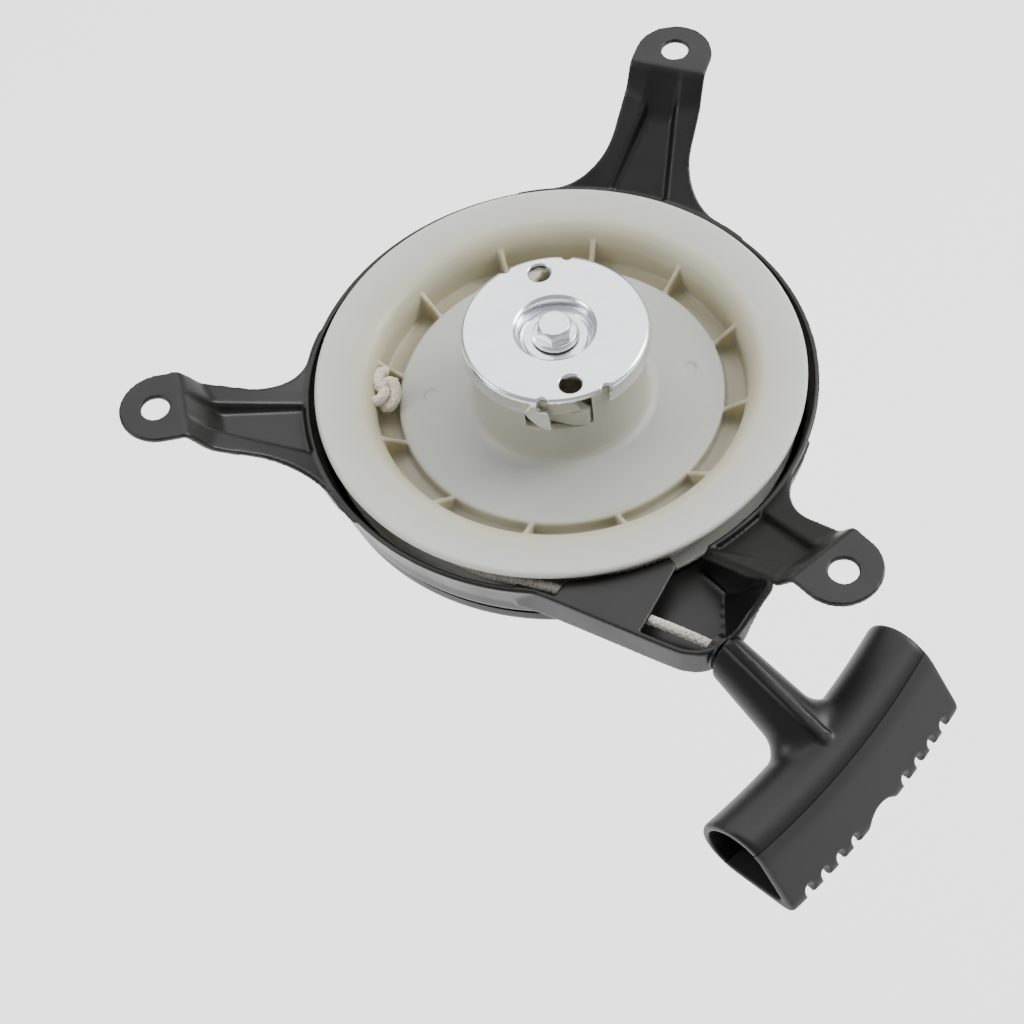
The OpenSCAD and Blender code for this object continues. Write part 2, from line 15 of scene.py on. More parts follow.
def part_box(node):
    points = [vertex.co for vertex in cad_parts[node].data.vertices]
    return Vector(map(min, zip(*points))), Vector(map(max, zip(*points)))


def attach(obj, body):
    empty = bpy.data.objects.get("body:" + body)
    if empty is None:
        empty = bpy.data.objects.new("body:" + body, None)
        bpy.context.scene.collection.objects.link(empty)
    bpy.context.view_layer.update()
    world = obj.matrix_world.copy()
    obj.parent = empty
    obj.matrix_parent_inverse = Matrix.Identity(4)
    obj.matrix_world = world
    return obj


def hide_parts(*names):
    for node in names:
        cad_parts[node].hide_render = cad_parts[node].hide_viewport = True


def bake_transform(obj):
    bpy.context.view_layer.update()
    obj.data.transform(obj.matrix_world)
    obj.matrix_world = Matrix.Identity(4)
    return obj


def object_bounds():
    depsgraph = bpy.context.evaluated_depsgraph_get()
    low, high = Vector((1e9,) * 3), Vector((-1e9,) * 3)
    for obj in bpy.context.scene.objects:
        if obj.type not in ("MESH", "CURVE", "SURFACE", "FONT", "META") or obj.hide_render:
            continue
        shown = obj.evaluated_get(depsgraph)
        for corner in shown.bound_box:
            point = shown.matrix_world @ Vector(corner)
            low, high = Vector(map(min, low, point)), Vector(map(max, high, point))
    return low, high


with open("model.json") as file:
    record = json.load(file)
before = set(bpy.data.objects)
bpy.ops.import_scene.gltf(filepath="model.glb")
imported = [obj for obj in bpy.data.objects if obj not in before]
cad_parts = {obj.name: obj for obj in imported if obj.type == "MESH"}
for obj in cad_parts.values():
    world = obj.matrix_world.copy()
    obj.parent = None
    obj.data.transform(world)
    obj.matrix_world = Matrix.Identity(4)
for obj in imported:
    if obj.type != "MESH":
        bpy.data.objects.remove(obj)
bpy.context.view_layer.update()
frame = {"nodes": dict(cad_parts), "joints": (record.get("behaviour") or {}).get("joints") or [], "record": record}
MM = 0.001
RECORD = frame["record"]
BODY_OF = {node: body for body, nodes in RECORD["behaviour"]["bodies"].items() for node in nodes}
scene = bpy.context.scene


# ---------- camera ----------

def add_camera():
    """Looks down on the engine side at 54 degrees, a little from the left, rolled 8 degrees."""
    forward = Vector((0, 0.5868, -0.8097)).normalized()
    level = forward.cross(Vector((0, 0, 1))).normalized()
    roll = math.radians(8.0)
    right = (level * math.cos(roll) - level.cross(forward) * math.sin(roll)).normalized()
    up = right.cross(forward)
    camera = bpy.data.objects.new("camera", bpy.data.cameras.new("camera"))
    scene.collection.objects.link(camera)
    turn = Matrix((right, up, -forward)).transposed().to_4x4()
    camera.matrix_world = Matrix.Translation(Vector((-20.4, -494.5, 639.6)) * MM) @ turn
    camera.data.lens = 90
    camera.data.sensor_width = 36
    camera.data.clip_end = 20
    scene.camera = camera


add_camera()


# ---------- measures taken from the frame ----------

def radius_of(node):
    """Largest distance from the reel's axis to a node's box, in millimetres."""
    low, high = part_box(node)
    return max(abs(low.x), abs(high.x), abs(low.y), abs(high.y)) / MM


def heights(node):
    low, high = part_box(node)
    return low.z / MM, high.z / MM


def joint(name):
    return next(j for j in frame["joints"] if j["name"] == name)


PULL = Vector(joint("grip_pull")["axis"]).normalized()
PULL_TRAVEL = next(j for j in RECORD["behaviour"]["joints"] if j["name"] == "grip_pull")["range_m"][1]
GUIDE = sum(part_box("rope_guide"), Vector()) / 2 / MM
coil_low, coil_high = heights("rope_coil")
COIL_TURNS = 3
ROPE_D = (coil_high - coil_low) / (COIL_TURNS + 0.0625)
ROPE_R = ROPE_D / 2
COIL_R = radius_of("rope_coil") - ROPE_R


# ---------- mesh helpers ----------

def add_object(name, mesh):
    obj = bpy.data.objects.new(name, mesh)
    scene.collection.objects.link(obj)
    return obj


def build(name, points, faces):
    """Object from points in millimetres."""
    mesh = bpy.data.meshes.new(name)
    mesh.from_pydata([tuple(Vector(p) * MM) for p in points], [], faces)
    mesh.validate()
    mesh.polygons.foreach_set("use_smooth", [True] * len(mesh.polygons))
    return add_object(name, mesh)


def ring_faces(rings, count):
    """Faces of a closed skin over a stack of equal rings of points, with a cap at each end."""
    faces = []
    for i in range(rings - 1):
        for k in range(count):
            n = (k + 1) % count
            faces.append((i * count + k, i * count + n, (i + 1) * count + n, (i + 1) * count + k))
    last = (rings - 1) * count
    return faces + [tuple(reversed(range(count))), tuple(range(last, last + count))]


def apply_modifiers(obj):
    bpy.context.view_layer.update()
    graph = bpy.context.evaluated_depsgraph_get()
    mesh = bpy.data.meshes.new_from_object(obj.evaluated_get(graph))
    obj.modifiers.clear()
    obj.data = mesh


def welded_copy(node):
    """The CAD node's mesh with its doubled points joined."""
    mesh = frame["nodes"][node].data.copy()
    work = bmesh.new()
    work.from_mesh(mesh)
    bmesh.ops.remove_doubles(work, verts=work.verts, dist=2e-6)
    work.to_mesh(mesh)
    work.free()
    mesh.materials.clear()
    return mesh


def even_skin(obj, voxel, soften):
    remesh = obj.modifiers.new("even", "REMESH")
    remesh.mode = "VOXEL"
    remesh.voxel_size = voxel * MM
    smooth = obj.modifiers.new("soften", "SMOOTH")
    smooth.factor = 0.5
    smooth.iterations = soften
    apply_modifiers(obj)
    obj.data.polygons.foreach_set("use_smooth", [True] * len(obj.data.polygons))


def voxel_piece(node, name, voxel, soften):
    """Even, soft-edged mesh of a CAD node."""
    obj = add_object(name, welded_copy(node))
    even_skin(obj, voxel, soften)
    stand_for(obj, node)
    finish_with(obj, node)
    return obj


def stand_for(obj, *nodes):
    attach(obj, BODY_OF[nodes[0]])
    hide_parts(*nodes)


# ---------- material helpers ----------

class Finish:
    """Node material round one Principled shader, in object coordinates."""

    def __init__(self, name, **sockets):
        self.material = bpy.data.materials.new(name)
        self.material.use_nodes = True
        self.tree = self.material.node_tree
        self.shader = self.tree.nodes["Principled BSDF"]
        self.place = self.add("ShaderNodeTexCoord").outputs["Object"]
        for socket, value in sockets.items():
            self.shader.inputs[socket.replace("_", " ")].default_value = value

    def add(self, kind, **values):
        node = self.tree.nodes.new(kind)
        for key, value in values.items():
            setattr(node, key, value)
        return node

    def link(self, a, b):
        self.tree.links.new(a, b)

    def calc(self, operation, *inputs):
        """Math node fed by sockets or constants."""
        node = self.add("ShaderNodeMath", operation=operation)
        for slot, value in zip(node.inputs, inputs):
            if isinstance(value, (int, float)):
                slot.default_value = value
            else:
                self.link(value, slot)
        return node.outputs["Value"]

    def remap(self, value, from_min, from_max, to_min=0, to_max=1):
        node = self.add("ShaderNodeMapRange")
        for name, limit in (("From Min", from_min), ("From Max", from_max), ("To Min", to_min),
                            ("To Max", to_max)):
            node.inputs[name].default_value = limit
        self.link(value, node.inputs["Value"])
        return node.outputs["Result"]

    def noise(self, size, detail=3.0, rough=0.5, stretch=(1, 1, 1)):
        """Noise whose features are about size millimetres."""
        mapping = self.add("ShaderNodeMapping")
        mapping.inputs["Scale"].default_value = stretch
        self.link(self.place, mapping.inputs["Vector"])
        node = self.add("ShaderNodeTexNoise")
        node.inputs["Scale"].default_value = 1 / (size * MM)
        node.inputs["Detail"].default_value = detail
        node.inputs["Roughness"].default_value = rough
        self.link(mapping.outputs["Vector"], node.inputs["Vector"])
        return node.outputs["Fac"]

    def ramp(self, fac, stops):
        node = self.add("ShaderNodeValToRGB")
        ramp = node.color_ramp
        while len(ramp.elements) < len(stops):
            ramp.elements.new(0.5)
        for element, (at, colour) in zip(ramp.elements, stops):
            element.position = at
            element.color = (*colour, 1)
        self.link(fac, node.inputs["Fac"])
        return node.outputs["Color"]

    def scale(self, fac, low, high):
        return self.remap(fac, 0.3, 0.7, low, high)

    def colour(self, fac, stops):
        self.link(self.ramp(fac, stops), self.shader.inputs["Base Color"])

    def rough(self, fac, low, high):
        self.link(self.scale(fac, low, high), self.shader.inputs["Roughness"])

    def bump(self, *layers):
        """Each layer is (height output, depth in millimetres)."""
        normal = None
        for fac, depth in layers:
            node = self.add("ShaderNodeBump")
            node.inputs["Strength"].default_value = 1
            node.inputs["Distance"].default_value = depth * MM
            self.link(fac, node.inputs["Height"])
            if normal:
                self.link(normal, node.inputs["Normal"])
            normal = node.outputs["Normal"]
        self.link(normal, self.shader.inputs["Normal"])


def grey(value, warm=0.0):
    return (value * (1 + warm), value, value * (1 - warm))


def paint(name, dark, light, low, high):
    """Black enamel on pressed steel: a fine orange peel, a few dust specks, uneven gloss."""
    f = Finish(name, IOR=1.45)
    f.colour(f.noise(9, 4), [(0.35, grey(dark)), (0.7, grey(light))])
    f.rough(f.noise(14, 5), low, high)
    f.bump((f.noise(0.9, 2), 0.012), (f.noise(0.22, 2), 0.006))
    return f.material


def nylon(name):
    """Milky nylon: light travels a few millimetres in it. Its tint is set by distance from the axis: warm hub,
    cool grey web, warm slopes, pale flange; the dark olive band over the groove between web and drum is painted
    shade, and the lighter outermost edge is a painted highlight.
    """
    f = Finish(name, IOR=1.53, Subsurface_Weight=0.5, Subsurface_Radius=(1.0, 0.92, 0.62),
               Subsurface_Scale=0.004)
    flat = f.add("ShaderNodeVectorMath", operation="MULTIPLY")
    flat.inputs[1].default_value = (1, 1, 0)
    f.link(f.place, flat.inputs[0])
    length = f.add("ShaderNodeVectorMath", operation="LENGTH")
    f.link(flat.outputs["Vector"], length.inputs[0])
    cloud = f.calc("MULTIPLY_ADD", f.noise(18, 3), 5 * MM, length.outputs["Value"])
    radius = f.remap(cloud, 0, 80 * MM)
    # Stops by radius: the dark olive stop at 0.70 is painted shade in the groove between web and drum; the lighter
    # edge stop at 0.985 is a painted highlight on the rim.
    warm, web, painted_groove_shade = (0.55, 0.52, 0.38), (0.47, 0.48, 0.45), (0.40, 0.37, 0.25)
    rim, edge = (0.56, 0.565, 0.51), (0.62, 0.63, 0.60)
    f.colour(radius, [(0.30, warm), (0.42, web), (0.64, web), (0.70, painted_groove_shade), (0.78, warm), (0.87, rim),
                      (0.985, edge)])
    f.rough(f.noise(7, 4), 0.36, 0.48)
    f.bump((f.noise(3.0, 2), 0.012), (f.noise(0.35, 3), 0.006))
    return f.material


def metal(name, dark, light, low, high, grain=0.5, depth=0.004, stretch=(1, 1, 1)):
    f = Finish(name, Metallic=1.0)
    f.colour(f.noise(5, 5, 0.6), [(0.3, dark), (0.7, light)])
    f.rough(f.noise(3, 5, 0.6), low, high)
    f.bump((f.noise(grain, 3, 0.5, stretch), depth))
    return f.material


def cord_finish(name, dark, light):
    """Braided nylon: soft sheen, dirt and shade between the strands."""
    f = Finish(name, Sheen_Weight=0.3, Sheen_Roughness=0.5, Subsurface_Weight=0.15,
               Subsurface_Radius=(1.0, 0.85, 0.65), Subsurface_Scale=0.001)
    f.colour(f.noise(0.7, 5, 0.7), [(0.36, dark), (0.52, light)])
    f.rough(f.noise(1.0, 3), 0.7, 0.85)
    f.bump((f.noise(0.18, 3), 0.03))
    return f.material


MATERIALS = {
    "housing": paint("black_enamel", 0.005, 0.008, 0.32, 0.42),
    "back_cover": paint("black_satin", 0.006, 0.009, 0.38, 0.46),
    "reel": nylon("milky_nylon"),
    "zinc": metal("bright_zinc", (0.80, 0.82, 0.85), (0.86, 0.88, 0.91), 0.2, 0.26),
    "steel": metal("bare_steel", grey(0.42, 0.02), grey(0.58, 0.01), 0.3, 0.45),
    "spring": metal("spring_steel", (0.2, 0.21, 0.25), (0.32, 0.33, 0.36), 0.3, 0.42),
    "rope": cord_finish("white_braid", (0.34, 0.29, 0.22), (0.80, 0.76, 0.68)),
    "knot": cord_finish("cream_braid", (0.62, 0.48, 0.32), (0.88, 0.80, 0.66)),
}
SLOT_FINISH = {
    "housing": "housing", "back_cover": "back_cover", "rope_guide": "housing", "center_post": "steel",
    "thrust_washer": "steel", "mainspring": "spring", "spring_anchor_pin": "steel",
    "spring_cover": "zinc", "reel": "reel", "reel_bushing": "steel", "rope_coil": "rope",
    "reel_knot": "knot", "rope_lead": "rope", "pawl_pins": "steel", "pawl_1": "reel",
    "pawl_2": "reel", "pawl_spring_1": "steel", "pawl_spring_2": "steel",
    "friction_spring": "spring", "friction_plate": "zinc", "plate_washer": "zinc",
    "lock_washer": "steel", "center_bolt": "zinc", "grip": "grip", "grip_rope": "rope",
    "grip_washer": "zinc", "grip_knot": "rope",
}


def finish_with(obj, slot):
    obj.data.materials.clear()
    obj.data.materials.append(MATERIALS[SLOT_FINISH[slot]])


# ---------- rope ----------

def resample(points, step):
    """Evenly spaced points on a smooth curve through the given ones."""
    p = np.array(points, float)
    ends = np.vstack([2 * p[0] - p[1], p, 2 * p[-1] - p[-2]])
    fine = []
    for i in range(len(p) - 1):
        a, b, c, d = ends[i:i + 4]
        t = np.linspace(0, 1, 24, endpoint=False)[:, None]
        fine.append(0.5 * (2 * b + (c - a) * t + (2 * a - 5 * b + 4 * c - d) * t ** 2
                           + (3 * b - a - 3 * c + d) * t ** 3))
    line = np.vstack(fine + [p[-1:]])
    run = np.concatenate([[0], np.cumsum(np.linalg.norm(np.diff(line, axis=0), axis=1))])
    count = max(int(run[-1] / step), 2)
    at = np.linspace(0, run[-1], count + 1)
    return np.column_stack([np.interp(at, run, line[:, k]) for k in range(3)]), at


def frames_along(line):
    """Tangent and two steady side directions at each point."""
    tangent = np.gradient(line, axis=0)
    tangent /= np.linalg.norm(tangent, axis=1)[:, None]
    start = np.cross(tangent[0], (0.0, 0.0, 1.0))
    if np.linalg.norm(start) < 0.1:
        start = np.cross(tangent[0], (1.0, 0.0, 0.0))
    side = [start / np.linalg.norm(start)]
    for t in tangent[1:]:
        s = side[-1] - t * np.dot(side[-1], t)
        side.append(s / np.linalg.norm(s))
    side = np.array(side)
    return tangent, side, np.cross(tangent, side)


def tube(centres, side, other, radii, sides, points, faces):
    """Adds a closed tube with an elliptical section to the lists of points and faces."""
    first = len(points)
    for c, s, o, (r1, r2) in zip(centres, side, other, radii):
        for k in range(sides):
            a = 2 * math.pi * k / sides
            points.append(c + s * (r1 * math.cos(a)) + o * (r2 * math.sin(a)))
    faces += [tuple(first + index for index in face) for face in ring_faces(len(centres), sides)]


def braid(name, route, radius=ROPE_R, step=0.3, strands=8, lay=9.5):
    """Braided rope along a route: two sets of strands wound opposite ways over a core."""
    line, run = resample(route, step)
    tangent, side, other = frames_along(line)
    points, faces = [], []
    core = radius * 0.8
    tube(line, side, other, [(core, core)] * len(line), 10, points, faces)
    for direction in (1, -1):
        for k in range(strands):
            angle = direction * 2 * math.pi * run / lay + 2 * math.pi * k / strands
            weave = np.sin(strands * 2 * math.pi * run / lay + math.pi * k + (direction > 0) * math.pi)
            radial = side * np.cos(angle)[:, None] + other * np.sin(angle)[:, None]
            around = np.cross(tangent, radial)
            centre = line + radial * (radius * (0.8 + 0.07 * weave))[:, None]
            tube(centre, around, radial, [(radius * 0.34, radius * 0.17)] * len(line), 6, points, faces)
    return build(name, points, faces)


def polar(r, angle, z):
    a = math.radians(angle)
    return (r * math.cos(a), r * math.sin(a), z)


# The loose last turn, from the drum to the outlet: (radius, angle, height over the guide).
LOOSE_START = [(COIL_R + 0.4, 250, 2.6), (66, 262, 3), (71.5, 274, 3), (72.6, 284, 3), (71.5, 295, 3),
               (67.5, 310, 2.4)]
LOOSE_LAP = [(65.4, angle, 1.5) for angle in range(325, 560, 15)]
LOOSE_END = [(66.5, 575, 1.4), (69.5, 590, 1.2), (72, 603, 1), (73.2, 614, 1), (75.3, 622, 0.8)]
EXIT_BOW = Vector((0.7, -0.7, 0)) * 1.6
POINTS_A_TURN = 36


def add_drum_rope():
    """Even turns on the drum, climbing from one flange to the other."""
    low = coil_low + ROPE_R
    rise = coil_high - coil_low - ROPE_D
    count = COIL_TURNS * POINTS_A_TURN
    turns = [polar(COIL_R, 360 / POINTS_A_TURN * k, low + rise * k / count) for k in range(count + 1)]
    coil = braid("rope_winding", turns, step=0.9)
    stand_for(coil, "rope_coil")
    finish_with(coil, "rope_coil")


def add_lead_rope():
    """Loose last turn under the flange, then across the outlet box to the guide."""
    route = [polar(r, angle, GUIDE.z + z) for r, angle, z in LOOSE_START + LOOSE_LAP + LOOSE_END]
    leave = Vector(route[-1])
    exit_in = GUIDE - PULL * 5
    for share in (0.3, 0.65):
        route.append(tuple(leave.lerp(exit_in, share) + EXIT_BOW * math.sin(math.pi * share)))
    route.append(tuple(GUIDE - Vector((PULL.x, PULL.y, 0)).normalized() * 2.5))
    route.append(tuple(GUIDE))
    lead = braid("rope_to_guide", route)
    stand_for(lead, "rope_lead")
    finish_with(lead, "rope_lead")


def add_pulled_rope():
    """Rope from the guide into the grip, straight along the pull."""
    low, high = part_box("grip_rope")
    span = (Vector((high.x, low.y, low.z)) / MM - GUIDE).dot(PULL)
    pulled = braid("rope_in_grip", [tuple(GUIDE + PULL * (span * k / 6 - 0.8)) for k in range(7)])
    finish_with(pulled, "grip_rope")
    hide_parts("grip_rope")
    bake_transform(pulled)


def add_rope():
    add_drum_rope()
    add_lead_rope()
    add_pulled_rope()
    add_knot("reel_knot", "knot_in_reel", (1.95, 1.15, 1.1), 78)
    add_knot("grip_knot", "knot_in_grip", (0.8, 0.8, 0.7), 0)


def add_knot(node, name, stretch, turn):
    """Overhand knot: an open trefoil, stretched and turned to lie as the knot does."""
    low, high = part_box(node)
    centre = (low + high) / 2 / MM
    wide, thick = 0.66 * ROPE_D, 0.5 * ROPE_D
    closed = 45
    route = []
    for k in range(closed - 1):
        t = 2 * math.pi * (k / closed)
        r = wide + thick * math.cos(3 * t)
        p = Vector((r * math.cos(2 * t), r * math.sin(2 * t), thick * math.sin(3 * t)))
        route.append(tuple(Vector(a * b for a, b in zip(p, stretch))))
    obj = braid(name, route, radius=ROPE_R * 1.1)
    spin = Matrix.Rotation(math.radians(turn), 4, "Z")
    obj.data.transform(Matrix.Translation(centre * MM) @ spin)
    stand_for(obj, node)
    finish_with(obj, node)


# ---------- pressed, moulded and turned pieces ----------

EAR_BOLTS = next(m for m in RECORD["mounts"] if m["name"] == "ear_bolts")
EAR_CIRCLE = EAR_BOLTS["dims"]["pcd_mm"] / 2
EAR_HOLE = EAR_BOLTS["dims"]["hole_r_mm"]
EAR_Z = EAR_BOLTS["pos_m"][2] / MM
EAR_R = 12.5
EAR_CENTER = EAR_CIRCLE - 1.5
ARM_DIRECTIONS = [64.2, 184.2, 304.2]
SHEET = 1.8
RIM_R = 79.6
RIM_Z = 23.4
ARM_HALF = 13.2
ARM_FILLET = 24
BEND_IN = 104.8
BEND_OUT = 113.5
CHANNEL_HALF = 10.4
CHANNEL_TAPER = 5.6
OUTLET_ARM = ARM_DIRECTIONS[2]
OUTLET_END = 106.5
WINDOW = (257.5, 296.5)


def soft_line(x, corners, reach=2.4):
    """Height along a bent line whose corners are rounded over twice the reach."""
    shifts = np.linspace(-reach, reach, 9)
    return np.mean([np.interp(x + d, *zip(*corners)) for d in shifts], axis=0)


def soft_step(x):
    x = np.clip(x, 0, 1)
    return x * x * (3 - 2 * x)


def arm_half_width(a):
    """Half width of an arm: straight, with a fillet into the rim and a round end."""
    fillet_s = ARM_HALF + ARM_FILLET
    fillet_a = math.sqrt((RIM_R + ARM_FILLET) ** 2 - fillet_s ** 2)
    touch_a = fillet_a * RIM_R / (RIM_R + ARM_FILLET)
    if a < touch_a:
        return math.sqrt(RIM_R ** 2 - a * a)
    if a < fillet_a:
        return fillet_s - math.sqrt(ARM_FILLET ** 2 - (fillet_a - a) ** 2)
    if a < EAR_CENTER:
        return ARM_HALF + (EAR_R - ARM_HALF) * soft_step((a - fillet_a) / (EAR_CENTER - fillet_a))
    return math.sqrt(max(EAR_R ** 2 - (a - EAR_CENTER) ** 2, 0))


def arm_height(a, s):
    """Top of an arm's sheet at distance a along it and s to the side."""
    inner, beyond = 60, 150
    out = a + (np.hypot(a, s) - a) * np.clip((104 - a) / 20, 0, 1)
    bend_in = BEND_IN + 3.4 * np.clip((abs(s) - 4.5) / 9, 0, 1)
    slope = (39.5 - RIM_Z) / (108 - RIM_R)
    ear = [(BEND_OUT, EAR_Z), (beyond, EAR_Z)]
    line = [(inner, RIM_Z - slope * (RIM_R - inner)), (bend_in, RIM_Z + slope * (bend_in - RIM_R))]
    top = soft_line(out, line + ear, 1.3)
    floor = soft_line(a, [(inner, 12.5), (77.6, 20.6), (104.2, 33.4)] + ear, 1.0)
    half = CHANNEL_HALF - CHANNEL_TAPER * np.clip((a - 72) / 32, 0, 1)
    inside = soft_step((half + 0.9 - abs(s)) / 1.8)
    return top + (np.minimum(floor, top) - top) * inside


def arm_surface(direction):
    """Top surface of one arm, rolled down into the pan at its inner end.

    The arm beside the rope outlet stays narrow on that side, so the outlet is open above."""
    rows, columns = 150, 84
    turn = Matrix.Rotation(math.radians(direction), 3, "Z")
    inner, tip = 70, EAR_CENTER + EAR_R - 0.02
    wall_r = RIM_R - 0.9
    points, faces = [], []
    for i in range(rows + 1):
        t = i / rows
        a = inner + (tip - inner) * (t if t < 0.8 else 1 - 5 * (1 - t) ** 2)
        half = arm_half_width(a)
        beside_outlet = direction == OUTLET_ARM and a < OUTLET_END
        near = min(half, ARM_HALF - 1.2) if beside_outlet else half
        for j in range(columns + 1):
            s = (half + near) * j / columns - near
            z = float(arm_height(a, s))
            r = math.hypot(a, s)
            x, y = a, s
            if r < wall_r:
                x, y = a * wall_r / r, s * wall_r / r
                z = float(arm_height(x, y)) - (wall_r - r) * 0.8
            points.append(turn @ Vector((x, y, z)))
    for i in range(rows):
        for j in range(columns):
            k = i * (columns + 1) + j
            faces.append((k, k + columns + 1, k + columns + 2, k + 1))
    return build("arm", points, faces)


def arm_sheet(direction):
    """One arm: its top surface thickened, with the bolt hole in its ear."""
    obj = arm_surface(direction)
    thick = obj.modifiers.new("thick", "SOLIDIFY")
    thick.thickness = SHEET * MM
    thick.offset = -1
    thick.use_even_offset = True
    apply_modifiers(obj)
    drill = add_prism("drill", circle(EAR_HOLE, 48), EAR_Z - 12, EAR_Z + 6)
    drill.data.transform(Matrix.Rotation(math.radians(direction), 4, "Z")
                         @ Matrix.Translation((EAR_CIRCLE * MM, 0, 0)))
    cut(obj, drill)
    return obj


def circle(r, count):
    angles = [2 * math.pi * k / count for k in range(count)]
    return [(r * math.cos(a), r * math.sin(a)) for a in angles]


def cut(obj, tool):
    """Takes the tool's volume away; the tool may be several separate closed solids."""
    work = bmesh.new()
    work.from_mesh(tool.data)
    bmesh.ops.recalc_face_normals(work, faces=work.faces)
    work.to_mesh(tool.data)
    work.free()
    boolean = obj.modifiers.new("cut", "BOOLEAN")
    boolean.object = tool
    boolean.solver = "EXACT"
    apply_modifiers(obj)
    bpy.data.objects.remove(tool)


def add_prism(name, outline, low, high):
    """Upright prism of an outline given counter-clockwise; low and high are heights or lists of them."""
    count = len(outline)
    lows = low if isinstance(low, list) else [low] * count
    highs = high if isinstance(high, list) else [high] * count
    points = [(x, y, z) for (x, y), z in zip(outline + outline, lows + highs)]
    faces = [tuple(reversed(range(count))), tuple(range(count, 2 * count))]
    faces += [(k, (k + 1) % count, count + (k + 1) % count, count + k) for k in range(count)]
    return build(name, points, faces)


def lathe(name, profile, start=0.0, stop=360.0, steps=240):
    """Turned solid of a closed profile of (radius, height) points; open ends are capped."""
    whole = stop - start > 359.9
    count = len(profile)
    rings = steps if whole else steps + 1
    points, faces = [], []
    for i in range(rings):
        a = math.radians(start + (stop - start) * i / steps)
        points += [(r * math.cos(a), r * math.sin(a), z) for r, z in profile]
    for i in range(steps):
        n = (i + 1) % rings
        faces += [(i * count + k, n * count + k, n * count + (k + 1) % count, i * count + (k + 1) % count)
                  for k in range(count)]
    if not whole:
        faces.append(tuple(range(count)))
        faces.append(tuple((rings - 1) * count + k for k in reversed(range(count))))
    return build(name, points, faces)


def arc(cx, cy, r, start, stop, count=8):
    steps = [math.radians(start + (stop - start) * k / count) for k in range(count + 1)]
    return [(cx + r * math.cos(a), cy + r * math.sin(a)) for a in steps]


def pan_pieces():
    """Turned base with its stepped foot, and the wall above it, open at the rope outlet."""
    low, split = 1.5, 14.6
    foot_r, inner_r = 2.3, 0.7
    outside = [(0.05, low), *arc(70.2, low + foot_r, foot_r, -90, 0), (72.5, 6.2),
               *arc(75.0, 9.9, 1.9, -55, -10), (77.35, split)]
    inside = [(75.75, split), *arc(75.0, 10.4, 0.6, -10, -55, 3), (70.9, 6.9),
              *arc(70.2, low + foot_r, inner_r, 0, -90, 4), (0.05, low + 1.5)]
    wall = [(77.3, split - 0.6), (RIM_R - 0.4, 21.6), *arc(RIM_R - 1, RIM_Z - 0.9, 1, 0, 180, 6),
            (75.7, split - 0.6)]
    return [lathe("base", outside + inside), lathe("wall", wall, WINDOW[1], WINDOW[0] + 360)]


# The outlet box. Its outer wall starts at the pan and rises round the far corner to the ear.
BOX_LOW = 12.9
BOX_TOP = RIM_Z - 0.3
BOX_SIDE = -ARM_HALF + 0.9
OUTER_WALL = [(-23, -74.6, 0), (-15, -79.2, 0), (2, -91.2, 0), (18, -102.6, 0), (23, -105.4, 0),
              (28.6, -106.3, 0), (35, -103.6, 0), (39.2, -101.3, 1.2), (43.4, -98.2, 5), (46.6, -96.6, 9.5)]
UNDER_ARM = [(OUTLET_END - 0.2, 0.6), (101, 1.2), (96, 0.2), (90, 0), (84, 0), (78.5, 0)]
FLAP_EDGE = [(-12.6, -80.6), (-6, -85.2), (9.6, -96), (11.2, -95.6), (12.6, -93.8), (18.4, -85.2),
             (24.3, -76.2), (25, -74.2), (24, -72.6)]


def from_arm(a, s):
    """Place in plan of a point a along the arm beside the outlet and s to its side."""
    turn = math.radians(OUTLET_ARM)
    return a * math.cos(turn) - s * math.sin(turn), a * math.sin(turn) + s * math.cos(turn)


def to_arm(x, y):
    turn = math.radians(OUTLET_ARM)
    return x * math.cos(turn) + y * math.sin(turn), y * math.cos(turn) - x * math.sin(turn)


def rim_arc(r, start, stop):
    """Points in plan on a circle about the reel's axis, clockwise in steps of four degrees."""
    angles = [math.radians(a) for a in range(start, stop, -4)]
    return [(r * math.cos(a), r * math.sin(a)) for a in angles]


def outlet_line():
    """Top edge of the box's wall, and the height of the wall's foot at each of its points."""
    corners = [(x, y, BOX_TOP + rise) for x, y, rise in OUTER_WALL]
    for a, inset in UNDER_ARM:
        s = BOX_SIDE + inset
        corners.append((*from_arm(a, s), float(arm_height(a, s)) - 0.9))
    line = resample(corners, 1.0)[0]
    lows = []
    for x, y, z in line:
        a, s = to_arm(x, y)
        near_ear = soft_step((s + 30) / 15) * soft_step((a - 86) / 18)
        lows.append(BOX_LOW + near_ear * (z - 4 - BOX_LOW))
    return line, lows


def rising_floor(edge, lows):
    """Sheet from the level floor up to the foot of the rising wall round the box's far corner."""
    points = []
    last = len(edge) - 1
    start, end = Vector(edge[0]), Vector(edge[-1])
    for i in range(1, last):
        x, y = edge[i]
        u, v = start.lerp(end, i / last)
        points += [(x, y, lows[i]), (x, y, lows[i] + SHEET), (u, v, BOX_LOW + SHEET), (u, v, BOX_LOW)]
    return build("outlet_slope", points, ring_faces(last - 1, 4))


